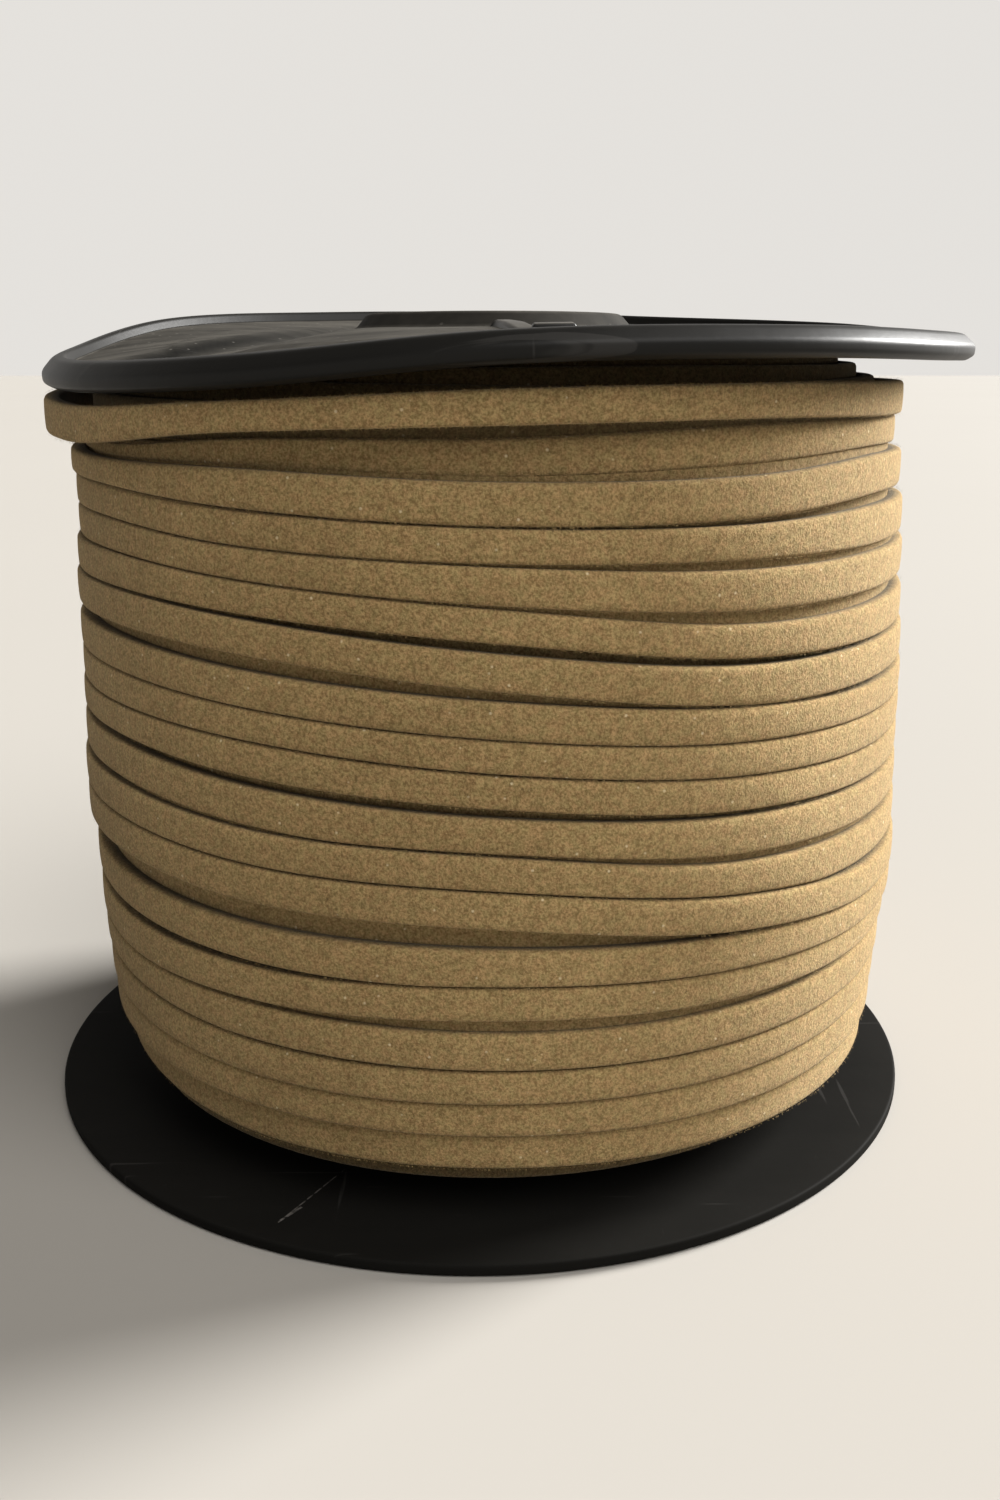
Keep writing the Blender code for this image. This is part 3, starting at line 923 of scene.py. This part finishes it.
class SPOOL_OT_stage(bpy.types.Operator):
    """Set the pale floor, the soft lights and the camera"""
    bl_idname = "spool.stage"
    bl_label = "Stage"

    def execute(self, context):
        settings = context.scene.spool_stage
        context.scene.view_settings.view_transform = "Standard"
        self.lay_floor(settings)
        self.light_room(context, settings)
        self.hang_lights(context, settings)
        self.set_camera(context, settings)
        return {"FINISHED"}

    def lay_floor(self, settings):
        deselect_all()
        bpy.ops.mesh.primitive_plane_add(size=12.0, location=(0.0, 0.0, -0.0001))
        floor = bpy.context.object
        floor.name = "floor"
        finish = Finish("pale_floor")
        faint = finish.noise(3.0, 2.0, 0.5)
        darker = tuple(value * 0.985 for value in settings.floor)
        tone = finish.ramp(faint, (0.3, darker), (0.7, tuple(settings.floor)))
        finish.link(tone, finish.shader.inputs["Base Color"])
        finish.shader.inputs["Roughness"].default_value = 0.95
        finish.shader.inputs["Specular IOR Level"].default_value = 0.1
        floor.data.materials.append(finish.material)

    def light_room(self, context, settings):
        world = bpy.data.worlds.new("studio")
        context.scene.world = world
        world.use_nodes = True
        nodes = world.node_tree.nodes
        links = world.node_tree.links
        split = nodes.new("ShaderNodeSeparateXYZ")
        links.new(nodes.new("ShaderNodeTexCoord").outputs["Generated"], split.inputs["Vector"])
        ramp = nodes.new("ShaderNodeValToRGB")
        levels = ((0.22, settings.room), (0.62, settings.ceiling))
        for element, (place, level) in zip(ramp.color_ramp.elements, levels):
            element.position = place
            element.color = (level, level * 0.97, level * 0.925, 1.0)
        links.new(split.outputs["Z"], ramp.inputs["Fac"])
        links.new(ramp.outputs["Color"], nodes["Background"].inputs["Color"])

    def hang_lights(self, context, settings):
        # Name, degrees round from the front to the right, degrees up, spread in degrees, power, colour
        rows = (
            ("key_light", 117.0, 24.0, 22.0, settings.key_power, (1.0, 0.99, 0.97)),
            ("fill_light", 40.0, 50.0, 45.0, settings.fill_power, (1.0, 0.98, 0.95)),
        )
        for name, turn, lift, spread, power, colour in rows:
            light = bpy.data.lights.new(name, "SUN")
            light.angle = math.radians(spread)
            light.energy = power
            light.color = colour
            lamp = bpy.data.objects.new(name, light)
            context.scene.collection.objects.link(lamp)
            side, rise = math.radians(turn), math.radians(lift)
            level = math.cos(rise)
            toward = Vector((math.sin(side) * level, -math.cos(side) * level, math.sin(rise)))
            lamp.location = toward * 0.6
            lamp.rotation_euler = (-toward).to_track_quat("-Z", "Y").to_euler()

    def set_camera(self, context, settings):
        camera = bpy.data.cameras.new("camera")
        camera.sensor_width = CAMERA_LONG_SIDE
        camera.lens = settings.focal_length
        camera.clip_start = 0.005
        stand = bpy.data.objects.new("camera", camera)
        context.scene.collection.objects.link(stand)
        stand.location = CAMERA_PLACE
        stand.rotation_euler = CAMERA_TURN
        context.scene.camera = stand


class SPOOL_PT_panel(bpy.types.Panel):
    """The pieces of the spool in order"""
    bl_label = "Cord Spool"
    bl_idname = "SPOOL_PT_panel"
    bl_space_type = "VIEW_3D"
    bl_region_type = "UI"
    bl_category = "Cord Spool"

    def draw(self, context):
        for settings in (context.scene.spool_cord, context.scene.spool_plastic, context.scene.spool_stage):
            for name in settings.bl_rna.properties.keys():
                if name not in ("rna_type", "name"):
                    self.layout.prop(settings, name)
        for piece in PIECES:
            self.layout.operator(piece.bl_idname)


PIECES = (
    SPOOL_OT_outer_turns, SPOOL_OT_nap_fibres, SPOOL_OT_under_layer, SPOOL_OT_inner_turns,
    SPOOL_OT_upper_flange, SPOOL_OT_cord_slot, SPOOL_OT_lower_flange, SPOOL_OT_barrel, SPOOL_OT_stage,
)
CLASSES = (CordSettings, SpoolSettings, StageSettings) + PIECES + (SPOOL_PT_panel,)


def register():
    for cls in CLASSES:
        bpy.utils.register_class(cls)
    bpy.types.Scene.spool_cord = bpy.props.PointerProperty(type=CordSettings)
    bpy.types.Scene.spool_plastic = bpy.props.PointerProperty(type=SpoolSettings)
    bpy.types.Scene.spool_stage = bpy.props.PointerProperty(type=StageSettings)


def unregister():
    del bpy.types.Scene.spool_cord
    del bpy.types.Scene.spool_plastic
    del bpy.types.Scene.spool_stage
    for cls in reversed(CLASSES):
        bpy.utils.unregister_class(cls)


def main():
    register()
    bpy.ops.spool.outer_turns()
    bpy.ops.spool.nap_fibres()
    bpy.ops.spool.under_layer()
    bpy.ops.spool.inner_turns()
    bpy.ops.spool.upper_flange()
    bpy.ops.spool.cord_slot()
    bpy.ops.spool.lower_flange()
    bpy.ops.spool.barrel()
    bpy.ops.spool.stage()


if __name__ == "__main__":
    main()
